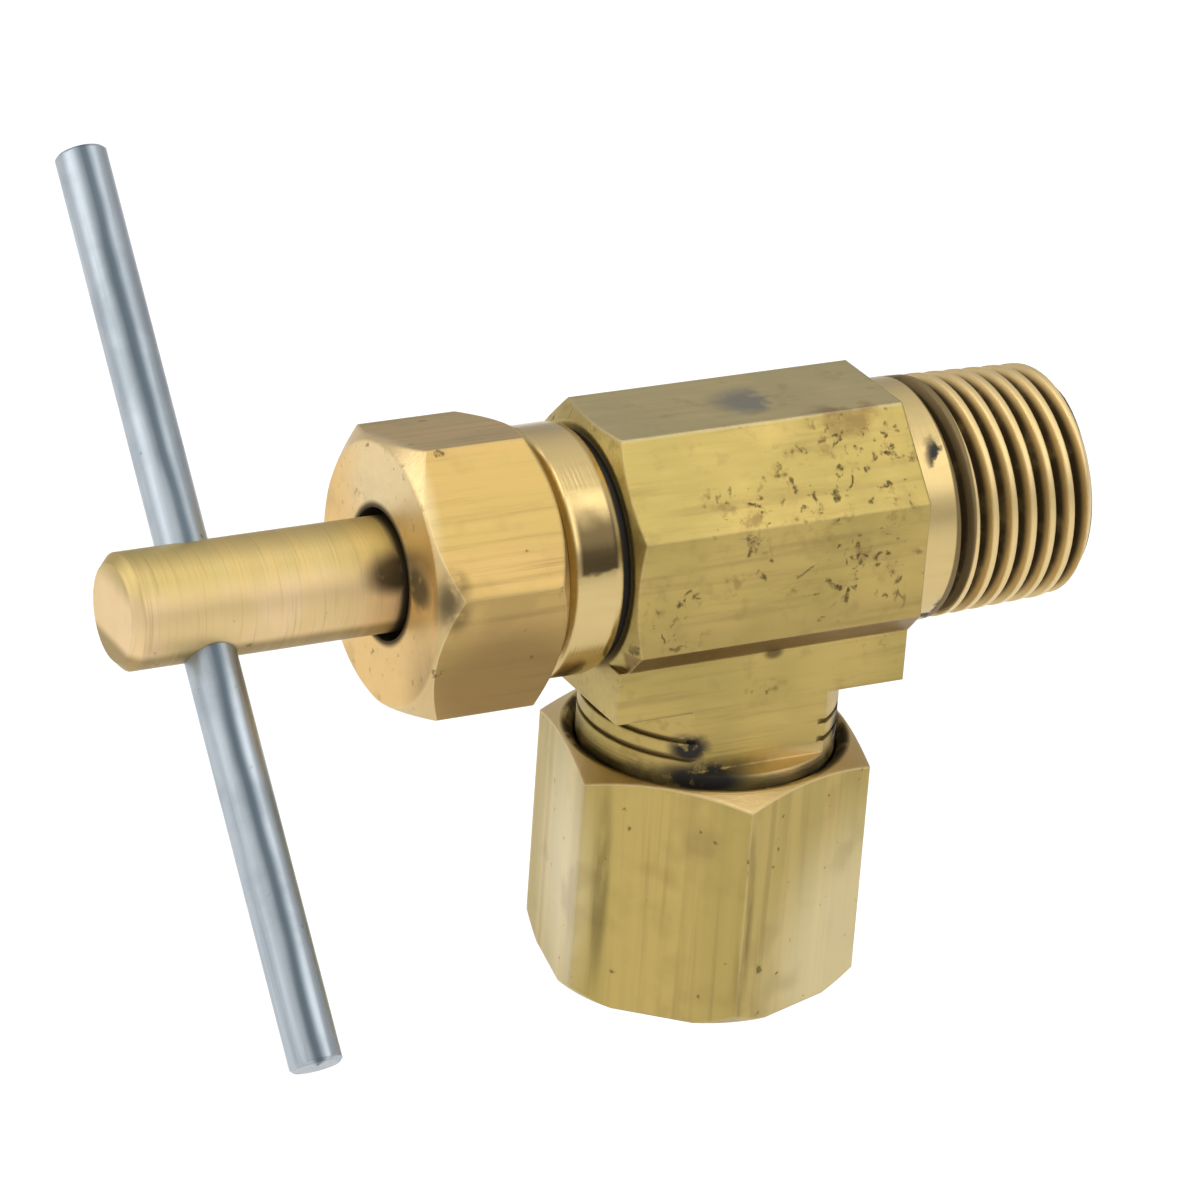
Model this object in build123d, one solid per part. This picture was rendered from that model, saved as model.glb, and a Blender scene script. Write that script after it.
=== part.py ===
from build123d import *
import math
import os

# Angle needle valve: 1/8-27 male pipe thread inlet, 1/4 in tube compression outlet.
# Millimetres. The origin is the centre of the pipe thread's end face, +X points out of that
# thread, and the outlet points down, along -Z. Every solid is drawn about the crossing of the
# valve's two axes and moved into that frame when it is written.
CENTRE_TO_END = 15.4
MAIN_AXIS = Axis.X
OUTLET_AXIS = Axis.Z

# Body bar: octagon on top of a narrower leg, sawn square at both ends
BAR_HALF_LENGTH = 6.77
BAR_TOP_Z = 5.58
BAR_TOP_HALF_WIDTH = 2.42
BAR_SIDE_Y = 5.42
BAR_SIDE_TOP_Z = 2.2
BAR_SIDE_LOW_Z = -2.88
LEG_Y = 4.5
STUB_BOTTOM_Z = -6.2

# Turned surfaces on the main axis, left to right
STUB_END_X = -13.8
COLLAR_LEFT_X = -9.7
COLLAR_RADIUS = 5.25
COLLAR_CHAMFER = 0.35
COLLAR_BEVEL_LENGTH = 0.35
COLLAR_BEVEL_DROP = 0.1
GROOVE_LEFT_X = -7.25
GROOVE_RADIUS = 4.7
SHOULDER_RADIUS = 5.2
SHOULDER_RISE = 0.9
SHOULDER_LENGTH = 0.45
PIPE_COLLAR_RADIUS = 5.21
PIPE_COLLAR_END_X = 8.35

# Male threads: pitch, crest radius, depth of the cut groove
PIPE_PITCH = 25.4 / 27
PIPE_CREST_RADIUS = 4.99
PIPE_TAPER = 1 / 32
PIPE_THREAD_DEPTH = 0.66
PIPE_THREAD_START_ANGLE = 102
TUBE_PITCH = 25.4 / 24
TUBE_THREAD_RADIUS = 5.55
TUBE_THREAD_DEPTH = 0.6
BONNET_PITCH = 25.4 / 24
BONNET_THREAD_RADIUS = 4.76
BONNET_THREAD_DEPTH = 0.55
STEM_PITCH = 25.4 / 32
STEM_THREAD_RADIUS = 2.78
STEM_THREAD_DEPTH = 0.4
STEM_RUN_OUT = 0.3
THREAD_CLEARANCE = 0.05
END_CHAMFER = 0.5
RELIEF = 0.5
RUN_IN = 0.5
# The groove's section, as half widths in pitches at its floor and at its mouth
GROOVE_FLOOR_SHARE = 0.06
GROOVE_MOUTH_SHARE = 0.43
GROOVE_REACH = 0.15

# Leg turned about the outlet axis, with two tool lines round its unflatted sides
NECK_RADIUS = 5.5
NECK_FLAT_END_Z = -9.0
NECK_LINES_Z = (-7.45, -8.25)
NECK_LINE_WIDTH = 0.22
NECK_LINE_DEPTH = 0.2
SHOULDER_RING_END_Z = -9.7
TUBE_THREAD_END_Z = -15.2

# Bores in the body
INLET_RADIUS = 3.0
INLET_DEPTH_X = 4.6
DRILL_POINT_ANGLE = 118
SEAT_X = 2.4
SEAT_RADIUS = 1.1
CHAMBER_RADIUS = 2.3
CHAMBER_LEFT_X = -5.3
STEM_BORE_LEFT_X = -10.4
PACKING_BORE_RADIUS = 3.5
PASSAGE_RADIUS = 1.6
TUBE_STOP_Z = -10.4
TUBE_SOCKET_RADIUS = 3.2
SLEEVE_MOUTH_Z = -14.2
SLEEVE_MOUTH_RADIUS = 4.1

# Stem and tee handle
STEM_RADIUS = 2.4
STEM_END_X = -27.4
STEM_CHAMFER = 0.4
STEM_THREAD_LEFT_X = -8.0
STEM_THREAD_RIGHT_X = -5.4
STEM_WAIST_RADIUS = 1.9
LAND_RADIUS = 2.22
LAND_LEFT_X = -3.4
LAND_RIGHT_X = -1.4
LAND_RAMP = 0.3
O_RING_X = -2.4
O_RING_GROOVE_RADIUS = 1.38
O_RING_GROOVE_WIDTH = 1.0
O_RING_RADIUS = 1.85
O_RING_SECTION_RADIUS = 0.42
NEEDLE_SHANK_RADIUS = 1.5
NEEDLE_HALF_ANGLE = 24
NEEDLE_TIP_RADIUS = 0.2
NEEDLE_GAP = 0.03
HANDLE_X = -23.8
HANDLE_RADIUS = 1.08
HANDLE_HALF_LENGTH = 19.45
HANDLE_ANGLE = 42.6
HANDLE_CHAMFER = 0.12

# Packing nut and what it holds. A chamfer is the cone's radius at the face and its angle in
# degrees to the face.
PACKING_NUT_FLATS = 11.11
PACKING_NUT_LEFT_X = -15.7
PACKING_NUT_RIGHT_X = -9.85
PACKING_NUT_ANGLE = 47.8
PACKING_NUT_FLOOR = 1.2
PACKING_NUT_HOLE_RADIUS = 2.75
PACKING_NUT_LEAD = 0.3
PACKING_NUT_CHAMFER = (5.45, 37)
RUNNING_GAP = 0.05
WASHER_THICKNESS = 0.5
PACKING_RING_THICKNESS = 1.1
FOLLOWER_FLANGE_RADIUS = 4.3
FOLLOWER_FLANGE_THICKNESS = 0.5

# Compression nut and sleeve
TUBE_NUT_FLATS = 12.5
TUBE_NUT_TOP_Z = -9.42
TUBE_NUT_BOTTOM_Z = -20.1
TUBE_NUT_ANGLE = 18.3
TUBE_NUT_HOLE_RADIUS = TUBE_SOCKET_RADIUS
TUBE_NUT_FLOOR_Z = -16.8
TUBE_NUT_MOUTH_RADIUS = 5.95
TUBE_NUT_TOP_CHAMFER = (6.15, 25)
TUBE_NUT_BOTTOM_CHAMFER = (6.5, 42)
SLEEVE_BORE_RADIUS = TUBE_SOCKET_RADIUS
SLEEVE_RADIUS = 3.95
SLEEVE_END_RADIUS = 3.45
SLEEVE_TOP_Z = -14.55
SLEEVE_BOTTOM_Z = -17.48
SLEEVE_TAPER_LENGTH = 0.7
SLEEVE_SIDE_GAP = 0.25


def lathe(points, axis=MAIN_AXIS):
    """Solid of revolution. Points are (distance along the axis, radius) down to the axis."""
    if axis is MAIN_AXIS:
        return revolve(make_face(Polyline(*points, close=True)), axis)
    upright = [(radius, 0, along) for along, radius in points]
    return revolve(make_face(Polyline(*upright, close=True)), axis)


def rod(radius, start, end, axis=MAIN_AXIS):
    """Plain cylinder between two places on the main axis or the outlet axis."""
    return lathe([(start, 0), (start, radius), (end, radius), (end, 0)], axis)


def ring(inner, outer, start, end, axis=MAIN_AXIS):
    """Washer or bush of rectangular section."""
    return lathe([(start, inner), (start, outer), (end, outer), (end, inner)], axis)


def thread_groove(pitch, crest_radius, depth, length, taper=0.0):
    """Helical vee groove about +Z from z=0, wide at the crest, ready to be cut from a shank."""
    cone_angle = math.degrees(math.atan(taper))
    start_radius = crest_radius + GROOVE_REACH
    path = Helix(pitch=pitch, height=length, radius=start_radius, cone_angle=cone_angle)
    mouth = GROOVE_MOUTH_SHARE * pitch
    floor = GROOVE_FLOOR_SHARE * pitch
    bottom = -depth - GROOVE_REACH
    section_plane = Plane(origin=path @ 0, x_dir=(1, 0, 0), z_dir=path % 0)
    section = section_plane * Polygon(
        (bottom, floor), (bottom, -floor), (0, -mouth), (0, mouth), align=None
    )
    return sweep(section, path=path, is_frenet=True)


def hexagon_nut(flats, start, end, start_chamfer, end_chamfer, turn, axis):
    """Hexagon bar between two places on an axis, start below end. Each chamfer is the cone's
    radius at the end face and its angle to that face."""
    beyond = flats
    start_radius, start_angle = start_chamfer
    end_radius, end_angle = end_chamfer
    start_rise = (beyond - start_radius) * math.tan(math.radians(start_angle))
    end_rise = (beyond - end_radius) * math.tan(math.radians(end_angle))
    start_cone = lathe([(start, 0), (start, start_radius), (start + start_rise, beyond),
                        (end, beyond), (end, 0)], axis)
    end_cone = lathe([(start, 0), (start, beyond), (end - end_rise, beyond),
                      (end, end_radius), (end, 0)], axis)
    sides = RegularPolygon(flats / 2, 6, major_radius=False, rotation=turn)
    if axis is MAIN_AXIS:
        end_face = Plane(origin=(start, 0, 0), x_dir=(0, 1, 0), z_dir=(1, 0, 0))
    else:
        end_face = Plane(origin=(0, 0, start))
    return extrude(end_face * sides, end - start) & start_cone & end_cone


def bar_section():
    """Cross-section of the body bar: an octagon whose lower bevels run into a straight leg."""
    bevel_slope = (BAR_TOP_Z - BAR_SIDE_TOP_Z) / (BAR_SIDE_Y - BAR_TOP_HALF_WIDTH)
    leg_top = BAR_SIDE_LOW_Z - (BAR_SIDE_Y - LEG_Y) * bevel_slope
    side = [
        (BAR_TOP_HALF_WIDTH, BAR_TOP_Z),
        (BAR_SIDE_Y, BAR_SIDE_TOP_Z),
        (BAR_SIDE_Y, BAR_SIDE_LOW_Z),
        (LEG_Y, leg_top),
        (LEG_Y, STUB_BOTTOM_Z),
    ]
    other_side = [(-y, z) for y, z in reversed(side)]
    return Plane.YZ * make_face(Polyline(*side, *other_side, close=True))


def bar_body():
    """Octagon bar whose left end is chamfered by turning, except on the leg."""
    bar = extrude(bar_section(), BAR_HALF_LENGTH, both=True)
    reach = 2 * BAR_SIDE_Y
    left = -BAR_HALF_LENGTH
    right = BAR_HALF_LENGTH
    turned = lathe([
        (left, 0),
        (left, SHOULDER_RADIUS),
        (left + SHOULDER_LENGTH, SHOULDER_RADIUS + SHOULDER_RISE),
        (left + SHOULDER_LENGTH, reach),
        (right, reach),
        (right, 0),
    ])
    leg_height = BAR_SIDE_LOW_Z - STUB_BOTTOM_Z - 1
    leg_keep = Pos(0, 0, STUB_BOTTOM_Z) * Box(
        2 * BAR_HALF_LENGTH, 2 * LEG_Y, leg_height, align=(Align.CENTER, Align.CENTER, Align.MIN)
    )
    return (bar & turned) + leg_keep


def threaded_shank(pitch, crest_radius, depth, length, taper=0.0):
    """Male thread on +Z: chamfered free end at z=0 and a turned relief just before z=length."""
    large = crest_radius + length * taper
    blank = lathe([
        (-RUN_IN, 0),
        (-RUN_IN, crest_radius - RUN_IN * taper),
        (length, large),
        (length, 0),
    ], OUTLET_AXIS)
    groove_length = length + RUN_IN - RELIEF / 2
    groove = thread_groove(pitch, crest_radius - RUN_IN * taper, depth, groove_length, taper)
    envelope = lathe([
        (0, 0),
        (0, crest_radius - END_CHAMFER),
        (END_CHAMFER, crest_radius + END_CHAMFER * taper),
        (END_CHAMFER, large + 1),
        (length - RELIEF - depth, large + 1),
        (length - RELIEF - depth, large),
        (length - RELIEF, large - depth),
        (length, large - depth),
        (length, 0),
    ], OUTLET_AXIS)
    return (blank - Pos(0, 0, -RUN_IN) * groove) & envelope


def pipe_thread():
    """Tapered male thread at the right end, with its polished collar."""
    collar = rod(PIPE_COLLAR_RADIUS, BAR_HALF_LENGTH - 1, PIPE_COLLAR_END_X)
    length = CENTRE_TO_END - PIPE_COLLAR_END_X
    thread = threaded_shank(PIPE_PITCH, PIPE_CREST_RADIUS, PIPE_THREAD_DEPTH, length, PIPE_TAPER)
    turned = Rot(0, -90, 0) * Rot(0, 0, PIPE_THREAD_START_ANGLE) * thread
    return collar + Pos(CENTRE_TO_END, 0, 0) * turned


def bonnet():
    """Left end on the main axis: dark groove, polished collar and the packing nut's thread."""
    collar = lathe([
        (-BAR_HALF_LENGTH + 1, 0),
        (-BAR_HALF_LENGTH + 1, GROOVE_RADIUS),
        (GROOVE_LEFT_X, GROOVE_RADIUS),
        (GROOVE_LEFT_X, COLLAR_RADIUS - COLLAR_BEVEL_DROP),
        (GROOVE_LEFT_X - COLLAR_BEVEL_LENGTH, COLLAR_RADIUS),
        (COLLAR_LEFT_X + COLLAR_CHAMFER, COLLAR_RADIUS),
        (COLLAR_LEFT_X, COLLAR_RADIUS - COLLAR_CHAMFER),
        (COLLAR_LEFT_X, 0),
    ])
    length = COLLAR_LEFT_X - STUB_END_X
    thread = threaded_shank(BONNET_PITCH, BONNET_THREAD_RADIUS, BONNET_THREAD_DEPTH, length)
    return collar + Pos(STUB_END_X, 0, 0) * Rot(0, 90, 0) * thread


def tube_end():
    """Leg turned about the outlet axis: flatted neck, round shoulder and compression thread."""
    flats = Box(
        4 * NECK_RADIUS, 2 * LEG_Y, -NECK_FLAT_END_Z, align=(Align.CENTER, Align.CENTER, Align.MAX)
    )
    neck = rod(NECK_RADIUS, -1, NECK_FLAT_END_Z, OUTLET_AXIS) & flats
    for line_z in NECK_LINES_Z:
        line_floor = NECK_RADIUS - NECK_LINE_DEPTH
        neck -= ring(line_floor, NECK_RADIUS + 1, line_z, line_z - NECK_LINE_WIDTH, OUTLET_AXIS)
    shoulder = rod(NECK_RADIUS, NECK_FLAT_END_Z, SHOULDER_RING_END_Z, OUTLET_AXIS)
    length = SHOULDER_RING_END_Z - TUBE_THREAD_END_Z
    thread = threaded_shank(TUBE_PITCH, TUBE_THREAD_RADIUS, TUBE_THREAD_DEPTH, length)
    return neck + shoulder + Pos(0, 0, TUBE_THREAD_END_Z) * thread


def body_bores():
    """Everything drilled out of the body: inlet, seat, chamber, packing box and tube socket."""
    drill_rise = (INLET_RADIUS - SEAT_RADIUS) / math.tan(math.radians(DRILL_POINT_ANGLE / 2))
    main = lathe([
        (STUB_END_X - 1, 0),
        (STUB_END_X - 1, PACKING_BORE_RADIUS),
        (STEM_BORE_LEFT_X, PACKING_BORE_RADIUS),
        (STEM_BORE_LEFT_X, STEM_THREAD_RADIUS + THREAD_CLEARANCE),
        (CHAMBER_LEFT_X, STEM_THREAD_RADIUS + THREAD_CLEARANCE),
        (CHAMBER_LEFT_X, CHAMBER_RADIUS),
        (SEAT_X, CHAMBER_RADIUS),
        (SEAT_X, SEAT_RADIUS),
        (INLET_DEPTH_X - drill_rise, SEAT_RADIUS),
        (INLET_DEPTH_X, INLET_RADIUS),
        (CENTRE_TO_END + 1, INLET_RADIUS),
        (CENTRE_TO_END + 1, 0),
    ])
    mouth_slope = (SLEEVE_MOUTH_RADIUS - TUBE_SOCKET_RADIUS) / (SLEEVE_MOUTH_Z - TUBE_THREAD_END_Z)
    socket = lathe([
        (0, 0),
        (0, PASSAGE_RADIUS),
        (TUBE_STOP_Z, PASSAGE_RADIUS),
        (TUBE_STOP_Z, TUBE_SOCKET_RADIUS),
        (SLEEVE_MOUTH_Z, TUBE_SOCKET_RADIUS),
        (TUBE_THREAD_END_Z - 1, SLEEVE_MOUTH_RADIUS + mouth_slope),
        (TUBE_THREAD_END_Z - 1, 0),
    ], OUTLET_AXIS)
    return main + socket


def valve_body():
    """One brass forging: bar, both turned ends, leg and tube end, less its bores."""
    return bar_body() + pipe_thread() + bonnet() + tube_end() - body_bores()


def handle_rod(radius, half_length):
    """Cylinder across the stem, centred on the main axis and turned to the handle's angle."""
    return Pos(HANDLE_X, 0, 0) * Rot(-HANDLE_ANGLE, 0, 0) * Cylinder(radius, 2 * half_length)


def needle_stem():
    """Turned stem: chamfered end, cross hole, threaded length, O-ring land and needle point."""
    spread = math.tan(math.radians(NEEDLE_HALF_ANGLE))
    seat_touch = SEAT_RADIUS - NEEDLE_GAP
    cone_start = SEAT_X - (NEEDLE_SHANK_RADIUS - seat_touch) / spread
    tip_x = SEAT_X + (seat_touch - NEEDLE_TIP_RADIUS) / spread
    groove_half = O_RING_GROOVE_WIDTH / 2
    root = STEM_THREAD_RADIUS - STEM_THREAD_DEPTH
    stem = lathe([
        (STEM_END_X, 0),
        (STEM_END_X, STEM_RADIUS - STEM_CHAMFER),
        (STEM_END_X + STEM_CHAMFER, STEM_RADIUS),
        (STEM_THREAD_LEFT_X, STEM_RADIUS),
        (STEM_THREAD_LEFT_X + STEM_THREAD_DEPTH, STEM_THREAD_RADIUS),
        (STEM_THREAD_RIGHT_X - STEM_THREAD_DEPTH, STEM_THREAD_RADIUS),
        (STEM_THREAD_RIGHT_X, root),
        (STEM_THREAD_RIGHT_X, STEM_WAIST_RADIUS),
        (LAND_LEFT_X - LAND_RAMP, STEM_WAIST_RADIUS),
        (LAND_LEFT_X, LAND_RADIUS),
        (O_RING_X - groove_half, LAND_RADIUS),
        (O_RING_X - groove_half, O_RING_GROOVE_RADIUS),
        (O_RING_X + groove_half, O_RING_GROOVE_RADIUS),
        (O_RING_X + groove_half, LAND_RADIUS),
        (LAND_RIGHT_X, LAND_RADIUS),
        (LAND_RIGHT_X, NEEDLE_SHANK_RADIUS),
        (cone_start, NEEDLE_SHANK_RADIUS),
        (tip_x, NEEDLE_TIP_RADIUS),
        (tip_x, 0),
    ])
    groove_length = STEM_THREAD_RIGHT_X - STEM_THREAD_LEFT_X + 2 * STEM_RUN_OUT
    groove = thread_groove(STEM_PITCH, STEM_THREAD_RADIUS, STEM_THREAD_DEPTH, groove_length)
    placed = Pos(STEM_THREAD_LEFT_X - STEM_RUN_OUT, 0, 0) * Rot(0, 90, 0) * groove
    return stem - placed - handle_rod(HANDLE_RADIUS, 2 * STEM_RADIUS)


def tee_handle():
    """Plain steel rod pressed through the stem, its ends just broken."""
    rod_solid = Cylinder(HANDLE_RADIUS, 2 * HANDLE_HALF_LENGTH)
    ends = rod_solid.edges().filter_by(GeomType.CIRCLE)
    return Pos(HANDLE_X, 0, 0) * Rot(-HANDLE_ANGLE, 0, 0) * chamfer(ends, HANDLE_CHAMFER)


def packing_nut():
    """Hexagon nut chamfered at both ends, with a floor that the stem passes through."""
    floor_x = PACKING_NUT_LEFT_X + PACKING_NUT_FLOOR
    bore = BONNET_THREAD_RADIUS + THREAD_CLEARANCE
    lead = PACKING_NUT_LEAD
    outside = hexagon_nut(
        PACKING_NUT_FLATS, PACKING_NUT_LEFT_X, PACKING_NUT_RIGHT_X, PACKING_NUT_CHAMFER,
        PACKING_NUT_CHAMFER, PACKING_NUT_ANGLE, MAIN_AXIS
    )
    inside = lathe([
        (PACKING_NUT_LEFT_X - 1, 0),
        (PACKING_NUT_LEFT_X - 1, PACKING_NUT_HOLE_RADIUS),
        (floor_x, PACKING_NUT_HOLE_RADIUS),
        (floor_x, bore),
        (PACKING_NUT_RIGHT_X - lead, bore),
        (PACKING_NUT_RIGHT_X + lead, bore + 2 * lead),
        (PACKING_NUT_RIGHT_X + lead, 0),
    ])
    return outside - inside


def gland_parts():
    """Backing washer, two packing rings and the flanged follower, stacked from the box's floor."""
    outer = PACKING_BORE_RADIUS - RUNNING_GAP
    inner = STEM_RADIUS + RUNNING_GAP
    washer_end = STEM_BORE_LEFT_X - WASHER_THICKNESS
    lower_end = washer_end - PACKING_RING_THICKNESS
    upper_end = lower_end - PACKING_RING_THICKNESS
    flange_left = PACKING_NUT_LEFT_X + PACKING_NUT_FLOOR + RUNNING_GAP
    flange_right = flange_left + FOLLOWER_FLANGE_THICKNESS
    follower = ring(inner, outer, upper_end, flange_right)
    follower += ring(inner, FOLLOWER_FLANGE_RADIUS, flange_right, flange_left)
    return {
        "packing_washer": ring(inner, outer, STEM_BORE_LEFT_X, washer_end),
        "packing_ring_lower": ring(inner, outer, washer_end, lower_end),
        "packing_ring_upper": ring(inner, outer, lower_end, upper_end),
        "gland_follower": follower,
    }


def stem_o_ring():
    """Rubber ring in the stem's groove."""
    return Pos(O_RING_X, 0, 0) * Rot(0, 90, 0) * Torus(O_RING_RADIUS, O_RING_SECTION_RADIUS)


def compression_nut():
    """Hexagon nut with an open threaded mouth, an inner cone and the tube's hole."""
    bore = TUBE_THREAD_RADIUS + THREAD_CLEARANCE
    lead = TUBE_NUT_MOUTH_RADIUS - bore
    cone_top_radius = SLEEVE_RADIUS + SLEEVE_SIDE_GAP
    cone_depth = cone_top_radius - TUBE_NUT_HOLE_RADIUS
    outside = hexagon_nut(
        TUBE_NUT_FLATS, TUBE_NUT_BOTTOM_Z, TUBE_NUT_TOP_Z, TUBE_NUT_BOTTOM_CHAMFER,
        TUBE_NUT_TOP_CHAMFER, TUBE_NUT_ANGLE, OUTLET_AXIS
    )
    inside = lathe([
        (TUBE_NUT_TOP_Z + lead, 0),
        (TUBE_NUT_TOP_Z + lead, TUBE_NUT_MOUTH_RADIUS + lead),
        (TUBE_NUT_TOP_Z - lead, bore),
        (TUBE_NUT_FLOOR_Z, bore),
        (TUBE_NUT_FLOOR_Z, cone_top_radius),
        (TUBE_NUT_FLOOR_Z - cone_depth, TUBE_NUT_HOLE_RADIUS),
        (TUBE_NUT_BOTTOM_Z - 1, TUBE_NUT_HOLE_RADIUS),
        (TUBE_NUT_BOTTOM_Z - 1, 0),
    ], OUTLET_AXIS)
    return outside - inside


def compression_sleeve():
    """Brass sleeve that the nut squeezes on to the tube, tapered at both ends."""
    return lathe([
        (SLEEVE_TOP_Z, SLEEVE_BORE_RADIUS),
        (SLEEVE_TOP_Z, SLEEVE_END_RADIUS),
        (SLEEVE_TOP_Z - SLEEVE_TAPER_LENGTH, SLEEVE_RADIUS),
        (SLEEVE_BOTTOM_Z + SLEEVE_TAPER_LENGTH, SLEEVE_RADIUS),
        (SLEEVE_BOTTOM_Z, SLEEVE_END_RADIUS),
        (SLEEVE_BOTTOM_Z, SLEEVE_BORE_RADIUS),
    ], OUTLET_AXIS)


nodes = {
    "valve_body": valve_body(),
    "needle_stem": needle_stem(),
    "tee_handle": tee_handle(),
    "packing_nut": packing_nut(),
    "stem_o_ring": stem_o_ring(),
    "compression_nut": compression_nut(),
    "compression_sleeve": compression_sleeve(),
    **gland_parts(),
}

os.makedirs("parts", exist_ok=True)
for name, solid in nodes.items():
    export_step(Pos(-CENTRE_TO_END, 0, 0) * solid, f"parts/{name}.step")
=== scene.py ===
import math
from types import SimpleNamespace

import bpy
from mathutils import Matrix, Vector


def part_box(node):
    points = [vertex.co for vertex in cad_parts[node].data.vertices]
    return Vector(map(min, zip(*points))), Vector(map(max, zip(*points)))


# Needle valve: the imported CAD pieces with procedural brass, steel, packing and rubber finishes.
# Metres, in the row frame. Materials work in millimetres about the crossing of the valve's two axes.
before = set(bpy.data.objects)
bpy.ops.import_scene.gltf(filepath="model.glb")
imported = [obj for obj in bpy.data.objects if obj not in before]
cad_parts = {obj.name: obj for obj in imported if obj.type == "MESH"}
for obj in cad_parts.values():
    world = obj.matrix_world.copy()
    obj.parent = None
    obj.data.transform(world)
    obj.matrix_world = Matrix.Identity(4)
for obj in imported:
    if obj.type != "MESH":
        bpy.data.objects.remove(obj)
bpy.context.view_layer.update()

MM = 0.001
sleeve_low, sleeve_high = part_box("compression_sleeve")
nut_low, nut_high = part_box("compression_nut")
handle_low, handle_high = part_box("tee_handle")
packing_nut_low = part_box("packing_nut")[0]
CROSSING = Vector(((sleeve_low.x + sleeve_high.x) / 2, 0, 0))

# The valve hangs from its pipe thread, and the floor is clear of the compression nut's whole travel
FLOOR_GAP = 0.020
FLOOR_Z = min(nut_low.z, handle_low.z) - FLOOR_GAP
FLOOR_HALF_WIDTH = 3.0
FLOOR_GREY = 0.88

# Camera: angles in degrees, distances in metres, lens and sensor in millimetres
AZIMUTH = -28.71
ELEVATION = 24.35
ROLL = 4.107
DISTANCE = 0.2440
AIM_RIGHT = -0.004813
AIM_UP = -0.003522
LENS = 175.74
SENSOR = 36.0
NEAREST = 0.01

# Softboxes: azimuth and elevation in degrees, distance, width and height in metres, radiance
SOFTBOXES = {
    "key": (33, 41, 0.45, 0.38, 0.36, 1.18),
    "left": (-108, 30, 0.50, 0.40, 0.35, 2.1),
    "overhead": (0, 85, 0.60, 0.40, 0.30, 2.5),
}

# World light by the height of its direction: the height and the colour where the ramp starts and ends
LOW_WORLD = (0.30, (0.50, 0.50, 0.52, 1))
HIGH_WORLD = (0.80, (1.0, 1.0, 1.0, 1))

# Linear colours
BRASS = (0.47, 0.348, 0.115)
WARM_BRASS = (0.70, 0.47, 0.18)
TAN_BRASS = (0.49, 0.325, 0.12)
GOLD_BRASS = (0.45, 0.315, 0.105)
OLIVE_BRASS = (0.385, 0.295, 0.093)
PALE_BRASS = (0.68, 0.51, 0.25)
ROSE_BRASS = (0.74, 0.55, 0.31)
THREAD_BRASS = (0.74, 0.56, 0.27)
GREY_BRASS = (0.44, 0.38, 0.22)
CREAM_BRASS = (0.76, 0.66, 0.42)
AGED_SHADED_BRASS = (0.26, 0.185, 0.065)
BROWN_BRASS = (0.20, 0.125, 0.045)
SLATE = (0.15, 0.15, 0.14)
TARNISH_SHADE_AND_REFLECTION = (0.075, 0.050, 0.022)
GRIME_AND_SHADE = (0.018, 0.014, 0.010)
STEEL = (0.42, 0.465, 0.50)
DULL_STEEL = (0.26, 0.30, 0.325)
DARK_STEEL = (0.075, 0.10, 0.12)
OFF_WHITE = (0.80, 0.79, 0.74)
YELLOWED_WHITE = (0.70, 0.67, 0.60)
STAINED_WHITE = (0.66, 0.63, 0.55)
RUBBER = (0.030, 0.030, 0.032)
DARK_RUBBER = (0.015, 0.015, 0.016)

# Places on the valve that the materials need, in millimetres about the crossing
BAR_END = 6.77
BAR_TOP = 5.58
SIDE_BOTTOM = -2.88
LEG_Y = 4.5
STUB_BOTTOM = -6.2
COLLAR_RADIUS = 5.25
GROOVE_LEFT = -7.25
GROOVE_RADIUS = 4.7
PIPE_COLLAR_END = 8.35
PIPE_END = -CROSSING.x / MM
PIPE_CREST_AT_END = 4.99
PIPE_TAPER = 1 / 32
NECK_RADIUS = 5.5
NECK_END = -9.7
TUBE_NUT_TOP = nut_high.z / MM
TUBE_NUT_MOUTH_RADIUS = 5.95
PACKING_NUT_LEFT = (packing_nut_low.x - CROSSING.x) / MM
PACKING_NUT_HOLE_RADIUS = 2.75

# Each nut's chamfer: the cone's radius at the end face, and its angle in degrees to that face
TUBE_NUT_CHAMFER = (6.15, 25)
PACKING_NUT_CHAMFER = (5.45, 37)

# Marks on the metal, and places of painted highlight, reflection and shade, each a soft ellipsoid
# given by its centre and its half sizes, in millimetres about the crossing
FLECKED_AREAS = (
    ((3.0, -4.5, 3.5), (5.0, 3.0, 2.8)),
    ((3.6, -5.4, -0.4), (4.4, 2.0, 3.4)),
    ((-1.8, -4.8, 2.6), (2.6, 2.5, 1.8)),
    ((-4.8, -5.4, -1.2), (2.0, 1.5, 2.4)),
)
SLATE_STAIN = ((0.9, -0.3, 5.6), (2.6, 1.8, 1.2))
BROWN_STAIN = ((4.2, -2.7, 5.4), (2.8, 1.5, 1.1))
CHIP = ((0.4, -4.5, -4.0), (0.6, 0.7, 0.36))
PIPE_COLLAR_SMUDGES = (
    ((7.9, -4.0, 3.6), (0.8, 1.5, 1.4)),
    ((8.1, -3.6, -3.8), (0.7, 2.4, 1.8)),
)
WIPED_NECK = ((2.0, -5.2, -9.0), (3.2, 1.8, 0.75))
NECK_RESIDUE = (
    ((-2.7, -4.8, -9.25), (3.1, 2.4, 1.0)),
    ((-3.2, -4.4, -7.9), (1.2, 1.0, 0.9)),
    ((4.6, -3.1, -8.5), (1.4, 2.2, 1.7)),
)
TUBE_NUT_SEAMS = (
    ((-1.3, -7.0, -15.0), (0.5, 1.2, 6.5)),
    ((-6.1, -2.9, -14.5), (0.42, 0.9, 6.0)),
)
TUBE_NUT_HIGHLIGHT_LEFT = ((-7.3, 1.4, -15.0), (2.2, 6.0, 9.0))
TUBE_NUT_REFLECTION_RIGHT = ((4.8, -5.2, -18.5), (6.5, 5.0, 8.5))
PACKING_NUT_SMEARS = (
    ((-15.6, -3.5, 0.9), (0.9, 1.7, 1.3)),
    ((-15.1, -5.4, 1.0), (1.0, 1.1, 1.7)),
)
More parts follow.
